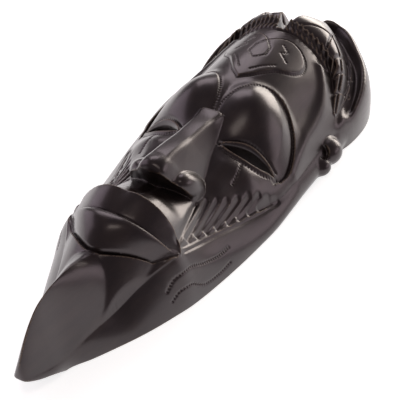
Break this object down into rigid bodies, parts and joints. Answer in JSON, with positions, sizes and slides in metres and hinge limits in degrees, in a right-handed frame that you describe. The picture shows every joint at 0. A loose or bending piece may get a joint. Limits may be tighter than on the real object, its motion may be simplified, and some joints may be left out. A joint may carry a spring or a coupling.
{
  "type": "carved wooden wall mask",
  "caption": "Long carved hardwood face mask with slit eyes, full lips, a keel-shaped chin and a braided crest, hollow behind, with a ring hanger at the back.",
  "frame": {"origin": "centre of the back plane, under the middle of the mask's length and width", "axes": "+X to the viewer's right when facing the mask, +Y from the chin to the crown, +Z out of the face; the mask lies on its back rim at z = 0"},
  "size_m": [0.164, 0.4532, 0.0776],
  "materials": {
    "stained_hardwood": "polished, near-black stain",
    "hanger_steel": "zinc-plated, dull",
    "screw_brass": "aged"
  },
  "bodies": {
    "mask": {"mask_carving": "stained_hardwood", "hanger_strap": "hanger_steel", "hanger_screws": "screw_brass"},
    "ring": {"hanger_ring": "hanger_steel"}
  },
  "joints": [
    {"name": "ring_swing", "type": "hinge", "parent": "mask", "child": "ring", "pos_m": [0, 0.16336, 0.0065], "axis": [1, 0, 0], "range_deg": [-120, 27]}
  ]
}
